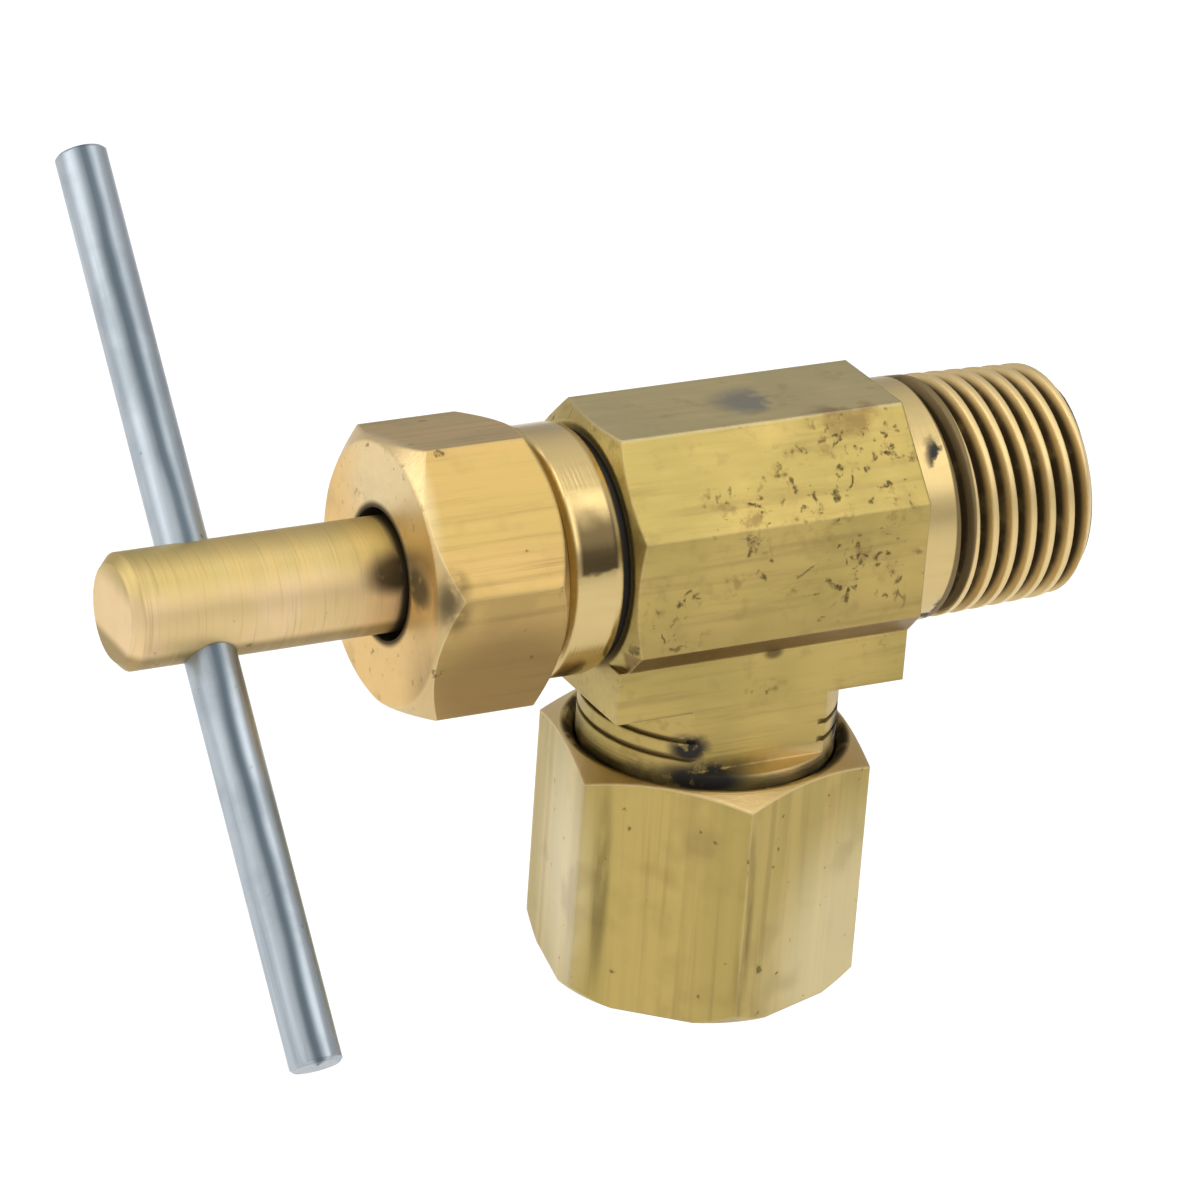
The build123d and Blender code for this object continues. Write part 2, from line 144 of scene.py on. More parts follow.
PACKING_NUT_HIGHLIGHT = ((-15.7, -0.5, 3.6), (1.0, 5.5, 4.2))
PACKING_NUT_SHADE_SIDE = ((-12.4, -5.0, -3.2), (5.6, 3.8, 4.4))
PACKING_NUT_SHADE_FACE = ((-15.6, -4.2, -1.7), (1.0, 1.4, 2.0))
STEM_SMEAR = ((-16.0, -2.1, 1.0), (1.9, 1.5, 1.1))

# Edges of painted shade and a painted reflection along an axis, in millimetres about the crossing
UNDER_BEVEL_FOOT = -3.75
COLLAR_REFLECTION_X = (-9.05, -7.6)

# Marks, painted shade and a painted reflection that fade in along an axis: where each starts and where
# it is full, in the same millimetres
LOW_SIDE_SHADE_Z = (-0.8, -2.8)
COLLAR_REFLECTION_FOOT_Z = (1.55, 1.75)
COLLAR_REFLECTION_HEAD_Z = (4.6, 3.2)
COLLAR_REFLECTION_NEAR_Y = (-1.0, -2.6)
NECK_OIL_Z = (-8.3, -9.3)
TOOL_LINES_Z = (-8.6, -8.5)
TUBE_NUT_MOUTH_Z = (-12.5, -10.5)
PACKING_NUT_HOLE_X = (-12.0, -13.0)
STEM_UNDER_SHADE_Z = (-0.9, -1.4)
STEM_TOP_SHADE_Z = (0.8, 1.9)

# Noise stretch for marks drawn along an axis, and for marks turned round it
DRAWN_X = (0.03, 1, 1)
DRAWN_Z = (1, 1, 0.03)
TURNED_X = (1, 0.03, 0.03)

# Turning marks on the nuts' end faces, and the side of the handle with a painted dark reflection, in
# degrees
TOOL_RINGS_PER_MM = 7
DARK_REFLECTION_SIDE = -103


class Graph:
    """One material's node tree, with short calls that add a node and return its output socket."""

    def __init__(self, name):
        self.material = bpy.data.materials.new(name)
        self.material.use_nodes = True
        self.tree = self.material.node_tree
        self.tree.nodes.clear()
        coordinates = self.add("ShaderNodeTexCoord").outputs["Object"]
        scaled = self.vector("SCALE", coordinates, scale=1 / MM)
        self.place = self.vector("SUBTRACT", scaled, tuple(CROSSING / MM))
        split = self.add("ShaderNodeSeparateXYZ")
        self.link(self.place, split.inputs[0])
        self.x, self.y, self.z = split.outputs

    def add(self, kind, **settings):
        node = self.tree.nodes.new(kind)
        for key, value in settings.items():
            setattr(node, key, value)
        return node

    def link(self, source, target):
        self.tree.links.new(source, target)

    def feed(self, target, value):
        """Link a socket, or set a constant. A colour constant has its alpha added."""
        if isinstance(value, bpy.types.NodeSocket):
            self.link(value, target)
        elif target.type == "RGBA":
            target.default_value = (*value, 1.0)
        else:
            target.default_value = value

    def vector(self, operation, a, b=None, scale=None):
        node = self.add("ShaderNodeVectorMath", operation=operation)
        self.feed(node.inputs[0], a)
        if b is not None:
            self.feed(node.inputs[1], b)
        if scale is not None:
            node.inputs["Scale"].default_value = scale
        return node.outputs[0]

    def math(self, operation, a, b=0.0, clamp=False):
        node = self.add("ShaderNodeMath", operation=operation, use_clamp=clamp)
        self.feed(node.inputs[0], a)
        self.feed(node.inputs[1], b)
        return node.outputs[0]

    def plus(self, a, b, clamp=False):
        return self.math("ADD", a, b, clamp)

    def minus(self, a, b):
        return self.math("SUBTRACT", a, b)

    def times(self, a, b):
        return self.math("MULTIPLY", a, b)

    def inverse(self, mask):
        return self.minus(1.0, mask)

    def any_of(self, *masks):
        total = masks[0]
        for mask in masks[1:]:
            total = self.math("MAXIMUM", total, mask)
        return total

    def all_of(self, *masks):
        total = masks[0]
        for mask in masks[1:]:
            total = self.times(total, mask)
        return total

    def smooth(self, value, low, high, to_low=0.0, to_high=1.0):
        """Smooth step from to_low at low to to_high at high."""
        node = self.add("ShaderNodeMapRange", interpolation_type="SMOOTHSTEP")
        self.feed(node.inputs["Value"], value)
        node.inputs["From Min"].default_value = low
        node.inputs["From Max"].default_value = high
        node.inputs["To Min"].default_value = to_low
        node.inputs["To Max"].default_value = to_high
        return node.outputs[0]

    def between(self, value, low, high, edge=0.05):
        """1 inside low..high and 0 outside."""
        return self.times(self.smooth(value, low - edge, low), self.smooth(value, high + edge, high))

    def band(self, value, centre, width):
        """1 at the centre value, falling to 0 at width either side."""
        distance = self.math("ABSOLUTE", self.minus(value, centre))
        return self.smooth(distance, width, 0.0)

    def noise(self, scale, stretch=(1, 1, 1), shift=0.0, detail=4.0, roughness=0.55, distortion=0.0):
        """Noise with scale features per millimetre. The shift keeps one noise from repeating another."""
        moved = self.vector("ADD", self.place, (shift, shift, shift))
        node = self.add("ShaderNodeTexNoise")
        self.link(self.vector("MULTIPLY", moved, stretch), node.inputs["Vector"])
        node.inputs["Scale"].default_value = scale
        node.inputs["Detail"].default_value = detail
        node.inputs["Roughness"].default_value = roughness
        node.inputs["Distortion"].default_value = distortion
        return node.outputs["Fac"]

    def patches(self, scale, low, high, **noise_settings):
        """Soft-edged patches: 0 where the noise is under low and 1 where it is over high."""
        return self.smooth(self.noise(scale, **noise_settings), low, high)

    def radius(self, a, b):
        """Distance from the axis that a and b are measured across."""
        return self.math("SQRT", self.plus(self.times(a, a), self.times(b, b)))

    def along(self, axis):
        """Distance along an axis through the crossing."""
        node = self.add("ShaderNodeVectorMath", operation="DOT_PRODUCT")
        self.link(self.place, node.inputs[0])
        node.inputs[1].default_value = axis
        return node.outputs["Value"]

    def spot(self, mark):
        """Soft ellipsoid, 1 near its centre and 0 at its surface."""
        centre, size = mark
        scaled = self.vector("DIVIDE", self.vector("SUBTRACT", self.place, centre), size)
        length = self.add("ShaderNodeVectorMath", operation="LENGTH")
        self.link(scaled, length.inputs[0])
        return self.smooth(length.outputs["Value"], 1.0, 0.35)

    def spots(self, marks):
        return self.any_of(*(self.spot(mark) for mark in marks))

    def mix(self, factor, a, b):
        node = self.add("ShaderNodeMix", data_type="RGBA")
        self.feed(node.inputs["Factor"], factor)
        for name, value in (("A", a), ("B", b)):
            socket = [s for s in node.inputs if s.name == name and s.type == "RGBA"][0]
            self.feed(socket, value)
        return [s for s in node.outputs if s.type == "RGBA"][0]

    def paint(self, under, over, mask, strength):
        """The colour under with the colour over laid on it where the mask is, at a strength."""
        return self.mix(self.times(mask, strength), under, over)

    def bump(self, height, distance, normal):
        """Bump whose height of 1 stands distance millimetres proud of the surface."""
        node = self.add("ShaderNodeBump")
        node.inputs["Distance"].default_value = distance * MM
        self.link(height, node.inputs["Height"])
        self.link(normal, node.inputs["Normal"])
        return node.outputs[0]

    def rounded(self, radius):
        """Normal that softens sharp edges as a file or tumbler leaves them."""
        node = self.add("ShaderNodeBevel", samples=4)
        node.inputs["Radius"].default_value = radius * MM
        return node.outputs[0]

    def edges(self, rounded):
        """1 on edges, where the rounded normal leaves the surface's own, and 0 on open faces."""
        node = self.add("ShaderNodeVectorMath", operation="DOT_PRODUCT")
        self.link(rounded, node.inputs[0])
        self.link(self.add("ShaderNodeNewGeometry").outputs["Normal"], node.inputs[1])
        return self.smooth(node.outputs["Value"], 0.998, 0.95)

    def finish(self, colour, roughness, metallic, normal):
        shader = self.add("ShaderNodeBsdfPrincipled")
        self.feed(shader.inputs["Base Color"], colour)
        self.feed(shader.inputs["Roughness"], roughness)
        self.feed(shader.inputs["Metallic"], metallic)
        self.link(normal, shader.inputs["Normal"])
        output = self.add("ShaderNodeOutputMaterial")
        self.link(shader.outputs[0], output.inputs["Surface"])
        return self.material


def body_zones(g):
    """Masks for the body's parts: the bar, its top, the turned metal, both collars and the neck."""
    across = g.radius(g.y, g.z)
    beside = g.math("ABSOLUTE", g.x)
    neck_start = STUB_BOTTOM - 0.4
    above_leg = g.smooth(g.z, neck_start, STUB_BOTTOM)
    bar = g.all_of(g.smooth(beside, BAR_END + 0.05, BAR_END - 0.01), above_leg)
    outside_bar = g.smooth(beside, BAR_END, BAR_END + 0.1)
    round_metal = g.all_of(outside_bar, g.smooth(across, COLLAR_RADIUS + 0.07, COLLAR_RADIUS + 0.01))
    return SimpleNamespace(
        across=across,
        bar=bar,
        top=g.all_of(g.smooth(g.z, BAR_TOP - 0.13, BAR_TOP - 0.03), bar),
        round_metal=round_metal,
        pipe_collar=g.all_of(round_metal, g.between(g.x, BAR_END, PIPE_COLLAR_END)),
        left_collar=g.all_of(round_metal, g.smooth(g.x, -BAR_END + 0.17, -BAR_END - 0.03)),
        neck=g.smooth(g.z, STUB_BOTTOM, neck_start),
    )


def clean_body(g, zones, soft_normal):
    """Bare metal: cloudy, drawn along the bar, stained on top; painted shade on top, low on the sides
    and under them.
    """
    drawn = g.patches(2.2, 0.5, 0.7, stretch=(0.06, 1, 1), shift=3.0, detail=5.0)
    colour = g.mix(g.patches(0.18, 0.35, 0.65, shift=5.0, detail=2.0), OLIVE_BRASS, BRASS)
    colour = g.paint(colour, AGED_SHADED_BRASS, drawn, 0.4)
    colour = g.paint(colour, PALE_BRASS, zones.round_metal, 0.6)
    # Painted shade greys the top flat
    colour = g.paint(colour, GREY_BRASS, zones.top, 0.55)
    # Painted shade browns the bevel under the octagon's sides
    beside_leg = g.smooth(g.math("ABSOLUTE", g.y), LEG_Y - 0.1, LEG_Y + 0.1)
    bevel = g.between(g.z, UNDER_BEVEL_FOOT, SIDE_BOTTOM - 0.07, 0.15)
    under = g.all_of(zones.bar, bevel, beside_leg)
    colour = g.paint(colour, BROWN_BRASS, under, 0.9)
    # Painted shade darkens the octagon's sides low down
    above_bevel = g.smooth(g.z, SIDE_BOTTOM - 0.22, SIDE_BOTTOM - 0.02)
    low_side = g.all_of(zones.bar, g.smooth(g.z, *LOW_SIDE_SHADE_Z), above_bevel)
    colour = g.paint(colour, AGED_SHADED_BRASS, low_side, 0.35)
    stain_shape = g.patches(0.5, 0.42, 0.6, shift=61.0)
    for dark_patch, stain_colour in ((SLATE_STAIN, SLATE), (BROWN_STAIN, BROWN_BRASS)):
        colour = g.paint(colour, stain_colour, g.all_of(zones.bar, stain_shape, g.spot(dark_patch)), 0.75)
    return g.paint(colour, PALE_BRASS, g.all_of(g.edges(soft_normal), zones.bar), 0.35)


def tarnish_flecks(g, presence):
    """Short dark arcs and specks: contour lines of one noise, broken up by another."""
    arcs = g.band(g.noise(0.55, detail=2.0, distortion=0.8), 0.5, 0.045)
    broken = g.patches(1.7, 0.54, 0.66, shift=31.0, detail=3.0)
    specks = g.patches(1.2, 0.585, 0.69, shift=77.0, roughness=0.6)
    return g.math("MULTIPLY", g.any_of(g.all_of(arcs, broken), specks), presence, clamp=True)


def tarnished_body(g, zones, colour):
    """Flecks, halos and smears of tarnish on the bar's sides, thickest towards the pipe end."""
    scattered = g.patches(0.2, 0.42, 0.6, shift=12.0, detail=1.0)
    near = [g.spot(mark) for mark in FLECKED_AREAS]
    presence = g.all_of(zones.bar, g.inverse(zones.top), g.any_of(scattered, *near))
    flecks = tarnish_flecks(g, presence)
    halo = g.all_of(zones.bar, g.patches(1.0, 0.55, 0.72, shift=52.0, detail=3.0))
    smears = g.patches(0.75, 0.58, 0.70, shift=39.0, roughness=0.6)
    colour = g.paint(colour, AGED_SHADED_BRASS, halo, 0.3)
    colour = g.paint(colour, BROWN_BRASS, g.all_of(presence, smears), 0.6)
    colour = g.paint(colour, TARNISH_SHADE_AND_REFLECTION, flecks, 0.78)
    return g.paint(colour, TARNISH_SHADE_AND_REFLECTION, g.spot(CHIP), 0.8), flecks


def dirty_pipe_thread(g, zones, colour):
    """Pipe thread: paler crests, with grime and painted shade darkening the grooves and the first turn
    by the collar.
    """
    from_end = g.times(g.minus(PIPE_END, g.x), PIPE_TAPER)
    depth = g.minus(g.plus(PIPE_CREST_AT_END, from_end), zones.across)
    zone = g.smooth(g.x, PIPE_COLLAR_END - 0.02, PIPE_COLLAR_END + 0.1)
    outside = g.smooth(depth, 1.2, 1.0)
    colour = g.paint(colour, THREAD_BRASS, g.all_of(zone, outside), 0.75)
    in_grooves = g.all_of(zone, outside, g.smooth(depth, 0.12, 0.42))
    patchy = g.smooth(g.noise(0.8, shift=19.0, detail=3.0), 0.2, 0.5, 0.62, 0.95)
    first_turn = g.all_of(outside, g.between(g.x, PIPE_COLLAR_END, PIPE_COLLAR_END + 0.9, 0.1))
    # Grime and painted shade in the grooves, painted shade in the first turn beside the collar
    dirt = g.any_of(g.times(in_grooves, patchy), g.times(first_turn, 0.75))
    return g.mix(dirt, colour, TARNISH_SHADE_AND_REFLECTION), dirt


def collar_dark_reflection(g, zones, colour):
    """Painted dark reflection: a ragged dark patch on the near side of the left collar."""
    ragged_height = g.plus(g.z, g.noise(0.8, shift=48.0, detail=3.0))
    dark_patch = g.all_of(
        zones.left_collar,
        g.smooth(ragged_height, *COLLAR_REFLECTION_FOOT_Z),
        g.smooth(ragged_height, *COLLAR_REFLECTION_HEAD_Z),
        g.between(g.x, *COLLAR_REFLECTION_X, 0.25),
        g.smooth(g.y, *COLLAR_REFLECTION_NEAR_Y),
    )
    # Painted dark reflection on the polished collar
    return g.paint(colour, TARNISH_SHADE_AND_REFLECTION, dark_patch, 0.9)


def body_dirt(g, zones, wiped):
    """Painted shade in the groove and on the thread in the compression nut, grime on the pipe collar and
    the neck above it.
    """
    # Painted shade in the groove beside the left collar
    in_groove = g.smooth(zones.across, GROOVE_RADIUS + 0.3, GROOVE_RADIUS + 0.1)
    groove = g.all_of(g.between(g.x, GROOVE_LEFT - 0.05, -BAR_END + 0.05, 0.04), in_groove)
    smudges = g.patches(0.9, 0.5, 0.62, shift=23.0)
    collar = g.all_of(zones.pipe_collar, g.spots(PIPE_COLLAR_SMUDGES), smudges)
    oily = g.all_of(zones.neck, g.smooth(g.z, *NECK_OIL_Z), g.patches(0.5, 0.46, 0.6, shift=20.0))
    oily = g.times(oily, g.inverse(wiped))
    residue = g.all_of(zones.neck, g.spots(NECK_RESIDUE), g.patches(0.9, 0.36, 0.48, shift=8.0))
    below_skin = g.smooth(g.radius(g.x, g.y), NECK_RADIUS - 0.04, NECK_RADIUS - 0.12)
    tool_lines = g.all_of(zones.neck, g.smooth(g.z, *TOOL_LINES_Z), below_skin)
    deep_line = g.all_of(tool_lines, g.smooth(g.math("ABSOLUTE", g.y), LEG_Y - 0.05, LEG_Y - 0.2))
    # Painted shade on the thread hidden inside the compression nut
    hidden_thread = g.smooth(g.z, NECK_END - 0.1, NECK_END - 0.25)
    return g.any_of(
        groove,
        collar,
        residue,
        g.times(oily, 0.6),
        g.times(deep_line, 0.45),
        g.times(hidden_thread, 0.6),
    )


def body_normal(g, zones, flecks, soft_normal):
    """Relief: lines along the bar, turning marks on the round surfaces, pits and broad lumps."""
    lines = g.noise(7.0, stretch=DRAWN_X, detail=3.0)
    turned_main = g.noise(9.0, stretch=(1, 0.02, 0.02), detail=2.0)
    turned_leg = g.noise(9.0, stretch=(0.02, 0.02, 1), shift=2.0, detail=2.0)
    relief = g.times(lines, zones.bar)
    relief = g.plus(relief, g.times(g.times(turned_main, zones.round_metal), 0.6))
    relief = g.plus(relief, g.times(turned_leg, zones.neck))
    relief = g.minus(relief, g.times(flecks, 2.0))
    lumps = g.times(g.noise(0.5, shift=4.0, detail=2.0), zones.bar)
    return g.bump(lumps, 0.06, g.bump(relief, 0.012, soft_normal))


def valve_body_finish():
    """Sawn and turned brass bar: satin flats, polished collars, threads and neck with grime and painted
    shade.
    """
    g = Graph("body_brass_worn")
    zones = body_zones(g)
    soft_normal = g.rounded(0.14)
    colour = clean_body(g, zones, soft_normal)
    colour, flecks = tarnished_body(g, zones, colour)
    colour, pipe_dirt = dirty_pipe_thread(g, zones, colour)
    colour = collar_dark_reflection(g, zones, colour)
    wiped = g.all_of(zones.neck, g.spot(WIPED_NECK))
    colour = g.paint(colour, PALE_BRASS, wiped, 0.8)
    dirt = body_dirt(g, zones, wiped)
    colour = g.mix(dirt, colour, GRIME_AND_SHADE)
    fine = g.noise(3.0, stretch=(0.15, 1, 1), shift=9.0, detail=3.0)
    roughness = g.plus(0.33, g.times(fine, 0.18))
    roughness = g.minus(roughness, g.times(zones.left_collar, 0.2))
    roughness = g.minus(roughness, g.times(zones.pipe_collar, 0.08))
    dull = g.any_of(flecks, dirt, pipe_dirt)
    roughness = g.plus(roughness, g.times(dull, 0.3), clamp=True)
    metallic = g.inverse(g.times(dirt, 0.7))
    return g.finish(colour, roughness, metallic, body_normal(g, zones, flecks, soft_normal))


def nut_finish(name, base, second, face, grain, grain_scale, details):
    """Machined hexagon bar: lines along the bar, turned end faces, worn edges, grime, painted highlights
    and shade.
    """
    g = Graph(name)
    marks = details(g)
    soft_normal = g.rounded(0.18)
    streaks = g.noise(grain_scale, stretch=grain, detail=5.0, roughness=0.6)
    on_sides = g.inverse(marks.end_face)
    broad = g.patches(0.55, 0.35, 0.65, stretch=grain, shift=14.0, detail=2.0)
    blotches = g.patches(0.4, 0.5, 0.7, shift=27.0, detail=3.0)
    specks = g.patches(1.3, 0.68, 0.75, shift=41.0, detail=3.0)
    colour = g.mix(broad, base, second)
    colour = g.mix(marks.end_face, colour, face)
    colour = g.paint(colour, AGED_SHADED_BRASS, blotches, 0.25)
    colour = g.paint(colour, AGED_SHADED_BRASS, g.all_of(on_sides, g.smooth(streaks, 0.5, 0.72)), 0.4)
    # Painted highlights and a painted reflection picked out in each nut's details
    colour = g.paint(colour, CREAM_BRASS, marks.pale, 0.6)
    # Brown: random patches on the compression nut, painted shade low on the packing nut
    colour = g.paint(colour, BROWN_BRASS, marks.brown, 0.75)
    # Painted highlight: each nut's chamfer cone painted paler
    colour = g.paint(colour, PALE_BRASS, marks.chamfer, 0.75)
    colour = g.paint(colour, PALE_BRASS, g.edges(soft_normal), 0.45)
    colour = g.paint(colour, TARNISH_SHADE_AND_REFLECTION, specks, 0.5)
    # Grime, and painted shade in each nut's hole
    colour = g.paint(colour, GRIME_AND_SHADE, marks.dirt, 0.85)
    roughness = g.plus(0.32, g.times(streaks, 0.2))
    roughness = g.plus(roughness, g.times(g.any_of(marks.dirt, specks), 0.3), clamp=True)
    lines = g.noise(grain_scale * 3, stretch=grain, shift=6.0, detail=3.0)
    rings = g.math("SINE", g.times(marks.distance, TOOL_RINGS_PER_MM * 2 * math.pi))
    turned = g.times(g.all_of(marks.end_face, rings), 0.12)
    relief = g.plus(g.all_of(on_sides, lines), turned)
    return g.finish(colour, roughness, 1.0, g.bump(relief, 0.012, soft_normal))


def cone_mask(g, from_face, distance, cone):
    """1 on the cone of a chamfer, for the distances from its end face and from its axis."""
    face_radius, angle = cone
    rise = g.times(g.minus(distance, face_radius), math.tan(math.radians(angle)))
    off_cone = g.math("ABSOLUTE", g.minus(rise, from_face))
    outside_face = g.smooth(distance, face_radius, face_radius + 0.05)
    return g.all_of(g.smooth(off_cone, 0.09, 0.05), outside_face)


def compression_details(g):
    """Painted shade in the mouth, dark drawing lines beside two corners, painted highlight and
    reflection on the outer sides.
    """
    distance = g.radius(g.x, g.y)
    from_top = g.minus(TUBE_NUT_TOP, g.z)
    # Painted shade inside the mouth of the nut
    mouth = g.all_of(
        g.smooth(distance, TUBE_NUT_MOUTH_RADIUS + 0.25, TUBE_NUT_MOUTH_RADIUS + 0.03),
        g.smooth(g.z, *TUBE_NUT_MOUTH_Z),
        g.patches(0.7, 0.3, 0.5, shift=3.0),
    )
    ragged = g.patches(1.2, 0.35, 0.6, stretch=(1, 1, 0.15), shift=35.0)
    seams = g.all_of(g.spots(TUBE_NUT_SEAMS), ragged)
    return SimpleNamespace(
        distance=distance,
        end_face=g.smooth(from_top, 0.06, 0.02),
        chamfer=cone_mask(g, from_top, distance, TUBE_NUT_CHAMFER),
        dirt=g.any_of(mouth, g.times(seams, 0.4)),
        # Painted highlight on the left side, painted reflection low on the front right
        pale=g.any_of(g.spot(TUBE_NUT_HIGHLIGHT_LEFT), g.times(g.spot(TUBE_NUT_REFLECTION_RIGHT), 0.8)),
        brown=g.times(g.patches(0.3, 0.56, 0.7, shift=71.0, detail=2.0), 0.3),
    )


def packing_details(g):
    """Painted shade in the hole round the stem and low down, grime beside the stem, short scratches,
    painted highlight high up.
    """
    distance = g.radius(g.y, g.z)
    from_left = g.minus(g.x, PACKING_NUT_LEFT)
    in_hole = g.smooth(distance, PACKING_NUT_HOLE_RADIUS + 0.35, PACKING_NUT_HOLE_RADIUS + 0.05)
    # Painted shade in the hole round the stem
    hole = g.all_of(in_hole, g.smooth(g.x, *PACKING_NUT_HOLE_X))
    scratches = g.patches(1.6, 0.62, 0.70, stretch=DRAWN_X, shift=55.0, detail=3.0)
    smear = g.all_of(g.spots(PACKING_NUT_SMEARS), g.patches(0.8, 0.25, 0.5, shift=37.0, detail=3.0))
    # Painted shade low on the end face
    shade_face = g.times(g.spot(PACKING_NUT_SHADE_FACE), 0.3)
    return SimpleNamespace(
        distance=distance,
        end_face=g.smooth(from_left, 0.06, 0.02),
        chamfer=cone_mask(g, from_left, distance, PACKING_NUT_CHAMFER),
        dirt=g.any_of(hole, g.times(scratches, 0.25), g.times(smear, 0.9)),
        # Painted highlight high on the end face, and painted shade on the lower side and low on the end
        # face
        pale=g.times(g.spot(PACKING_NUT_HIGHLIGHT), 0.8),
        brown=g.any_of(g.spot(PACKING_NUT_SHADE_SIDE), shade_face),
    )


def stem_finish():
    """Turned stem: marks run round it; painted shade under it, on top and in a ring where it enters the
    packing nut.
    """
    g = Graph("stem_brass_turned")
    marks = g.noise(8.0, stretch=TURNED_X, detail=3.0)
    rings = g.patches(1.4, 0.45, 0.7, stretch=(1, 0.05, 0.05), shift=44.0, detail=2.0)
    specks = g.patches(1.1, 0.66, 0.74, shift=66.0)
    colour = g.mix(g.patches(0.3, 0.35, 0.65, shift=3.0, detail=2.0), PALE_BRASS, ROSE_BRASS)
    # Painted shade: the underside darkened and the top dulled to olive
    colour = g.paint(colour, AGED_SHADED_BRASS, g.smooth(g.z, *STEM_UNDER_SHADE_Z), 0.85)
    colour = g.paint(colour, OLIVE_BRASS, g.smooth(g.z, *STEM_TOP_SHADE_Z), 0.75)
    colour = g.paint(colour, AGED_SHADED_BRASS, g.smooth(marks, 0.55, 0.75), 0.3)
    colour = g.paint(colour, WARM_BRASS, rings, 0.22)
    colour = g.paint(colour, TARNISH_SHADE_AND_REFLECTION, specks, 0.5)
    smear = g.all_of(g.spot(STEM_SMEAR), g.patches(0.7, 0.2, 0.45, shift=29.0, detail=3.0))
    # Painted shade in a ring where the stem enters the packing nut and along it inside; the smear is
    # grime
    ring = g.between(g.x, PACKING_NUT_LEFT, PACKING_NUT_LEFT + 0.7, 0.35)
    inside = g.smooth(g.x, PACKING_NUT_LEFT, PACKING_NUT_LEFT + 0.4, 0.0, 0.3)
    colour = g.paint(colour, TARNISH_SHADE_AND_REFLECTION, g.any_of(ring, smear, inside), 0.92)
    roughness = g.plus(0.42, g.times(marks, 0.18))
    return g.finish(colour, roughness, 1.0, g.bump(marks, 0.010, g.rounded(0.1)))


def handle_finish():
    """Zinc-plated drawn rod: fine lines along it, and a painted dark reflection along one side from end
    to end.
    """
    g = Graph("handle_steel_zinc")
    swing = math.atan2(handle_high.y - handle_low.y, handle_high.z - handle_low.z)
    centre_x = (handle_low.x + handle_high.x) / 2 / MM - CROSSING.x / MM
    lengthwise = g.along((0.0, math.sin(swing), math.cos(swing)))
    sideways = g.minus(g.x, centre_x)
    outward = g.along((0.0, math.cos(swing), -math.sin(swing)))
    place = g.add("ShaderNodeCombineXYZ")
    g.link(sideways, place.inputs[0])
    g.link(outward, place.inputs[1])
    g.link(g.times(lengthwise, 0.04), place.inputs[2])
    drawn = g.add("ShaderNodeTexNoise")
    g.link(place.outputs[0], drawn.inputs["Vector"])
    drawn.inputs["Scale"].default_value = 2.8
    drawn.inputs["Detail"].default_value = 5.0
    lines = drawn.outputs["Fac"]
    patches = g.noise(0.3, shift=17.0)
    wobble = g.times(g.minus(g.noise(0.1, shift=91.0, detail=3.0), 0.5), 0.7)
    angle = g.plus(g.math("ARCTAN2", outward, sideways), wobble)
    off_stripe = g.math("ABSOLUTE", g.minus(angle, math.radians(DARK_REFLECTION_SIDE)))
    reflection_stripe = g.smooth(g.plus(off_stripe, g.times(lines, 0.2)), 0.52, 0.14)
    colour = g.paint(STEEL, DULL_STEEL, g.smooth(lines, 0.46, 0.7), 0.55)
    colour = g.paint(colour, DULL_STEEL, g.smooth(patches, 0.48, 0.66), 0.45)
    # Painted dark reflection along one side of the handle
    colour = g.paint(colour, DARK_STEEL, reflection_stripe, 0.92)
    colour = g.paint(colour, DARK_STEEL, g.patches(1.2, 0.67, 0.75, shift=13.0), 0.6)
    roughness = g.plus(0.30, g.times(patches, 0.2))
    roughness = g.plus(roughness, g.times(reflection_stripe, 0.08))
    return g.finish(colour, roughness, 1.0, g.bump(lines, 0.012, g.rounded(0.08)))


def plain_finish(name, base, dark, roughness, metallic, grain):
    """Small inner pieces: mottled colour with a fine surface."""
    g = Graph(name)
    mottle = g.noise(grain)
    colour = g.mix(g.smooth(mottle, 0.35, 0.65), base, dark)
    rough = g.plus(roughness, g.times(mottle, 0.12), clamp=True)
    return g.finish(colour, rough, metallic, g.bump(mottle, 0.02, g.rounded(0.05)))


FINISHES = {
    "valve_body": valve_body_finish(),
    "needle_stem": stem_finish(),
    "tee_handle": handle_finish(),
    "packing_nut": nut_finish(
        "nut_brass_warm", TAN_BRASS, GOLD_BRASS, WARM_BRASS, DRAWN_X, 2.4, packing_details
    ),
    "compression_nut": nut_finish(
        "nut_brass_olive", OLIVE_BRASS, BRASS, BRASS, DRAWN_Z, 1.8, compression_details
    ),
    "compression_sleeve": plain_finish("sleeve_brass_bright", PALE_BRASS, AGED_SHADED_BRASS, 0.3, 1.0, 1.2),
    "gland_follower": plain_finish("follower_brass", PALE_BRASS, AGED_SHADED_BRASS, 0.3, 1.0, 1.5),
    "packing_washer": plain_finish("washer_brass", PALE_BRASS, AGED_SHADED_BRASS, 0.32, 1.0, 1.6),
    "packing_ring_lower": plain_finish("packing_lower_ptfe", OFF_WHITE, STAINED_WHITE, 0.4, 0.0, 3.0),
    "packing_ring_upper": plain_finish("packing_upper_ptfe", OFF_WHITE, YELLOWED_WHITE, 0.4, 0.0, 2.6),
    "stem_o_ring": plain_finish("o_ring_rubber", RUBBER, DARK_RUBBER, 0.5, 0.0, 4.0),
}
for node_name, finish in FINISHES.items():
    for material_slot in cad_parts[node_name].material_slots:
        material_slot.material = finish


def direction(azimuth, elevation):
    """Unit vector from the object towards a place round it. Azimuth 0 is the -Y side."""
    a = math.radians(azimuth)
    e = math.radians(elevation)
    return Vector((math.sin(a) * math.cos(e), -math.cos(a) * math.cos(e), math.sin(e)))


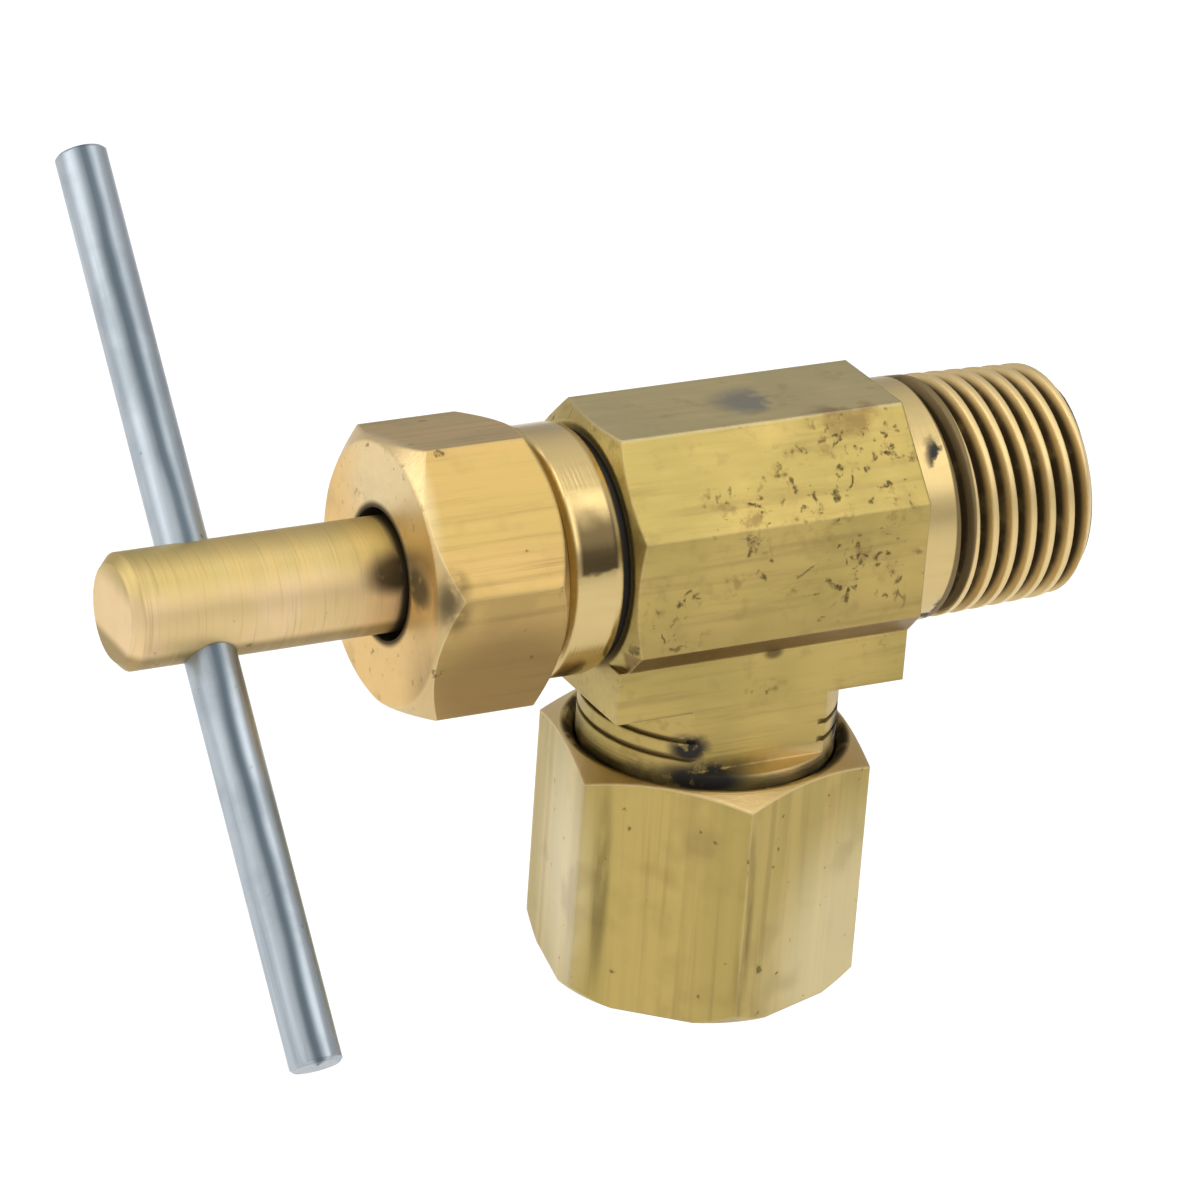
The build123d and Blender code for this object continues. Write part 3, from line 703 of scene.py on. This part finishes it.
def make_camera():
    back = direction(AZIMUTH, ELEVATION)
    right = Vector((math.cos(math.radians(AZIMUTH)), math.sin(math.radians(AZIMUTH)), 0))
    up = back.cross(right)
    roll = math.radians(ROLL)
    side = math.cos(roll) * right + math.sin(roll) * up
    top = math.cos(roll) * up - math.sin(roll) * right
    data = bpy.data.cameras.new("camera")
    data.lens = LENS
    data.sensor_width = SENSOR
    data.clip_start = NEAREST
    camera = bpy.data.objects.new("camera", data)
    bpy.context.scene.collection.objects.link(camera)
    place = CROSSING + AIM_RIGHT * right + AIM_UP * up + DISTANCE * back
    columns = Matrix((side, top, back)).transposed()
    camera.matrix_world = Matrix.Translation(place) @ columns.to_4x4()
    bpy.context.scene.camera = camera


def softbox(name, azimuth, elevation, distance, width, height, radiance):
    """Rectangular area light that faces the valve, with an even radiance."""
    data = bpy.data.lights.new(name, "AREA")
    data.shape = "RECTANGLE"
    data.size = width
    data.size_y = height
    data.energy = radiance * math.pi * width * height
    light = bpy.data.objects.new(name, data)
    bpy.context.scene.collection.objects.link(light)
    away = direction(azimuth, elevation)
    light.location = CROSSING + distance * away
    light.rotation_euler = away.to_track_quat("Z", "Y").to_euler()


def make_world():
    """Soft light from all round, brighter from above."""
    world = bpy.data.worlds.new("studio")
    bpy.context.scene.world = world
    world.use_nodes = True
    nodes = world.node_tree.nodes
    links = world.node_tree.links
    coordinates = nodes.new("ShaderNodeTexCoord")
    split = nodes.new("ShaderNodeSeparateXYZ")
    links.new(coordinates.outputs["Generated"], split.inputs[0])
    ramp = nodes.new("ShaderNodeValToRGB")
    for element, (height, colour) in zip(ramp.color_ramp.elements, (LOW_WORLD, HIGH_WORLD)):
        element.position = height
        element.color = colour
    background = nodes["Background"]
    background.inputs["Strength"].default_value = 1.0
    links.new(split.outputs["Z"], ramp.inputs["Fac"])
    links.new(ramp.outputs["Color"], background.inputs["Color"])


def make_floor():
    half = FLOOR_HALF_WIDTH
    mesh = bpy.data.meshes.new("floor")
    corners = [(-half, -half, 0), (half, -half, 0), (half, half, 0), (-half, half, 0)]
    mesh.from_pydata(corners, [], [(0, 1, 2, 3)])
    floor = bpy.data.objects.new("floor", mesh)
    bpy.context.scene.collection.objects.link(floor)
    floor.location = (CROSSING.x, 0, FLOOR_Z)
    material = bpy.data.materials.new("floor_white")
    material.use_nodes = True
    shader = material.node_tree.nodes["Principled BSDF"]
    shader.inputs["Base Color"].default_value = (FLOOR_GREY, FLOOR_GREY, FLOOR_GREY, 1)
    shader.inputs["Roughness"].default_value = 0.9
    mesh.materials.append(material)


make_camera()
for light_name, light_settings in SOFTBOXES.items():
    softbox(light_name, *light_settings)
make_world()
make_floor()
bpy.context.scene.view_settings.view_transform = "Standard"
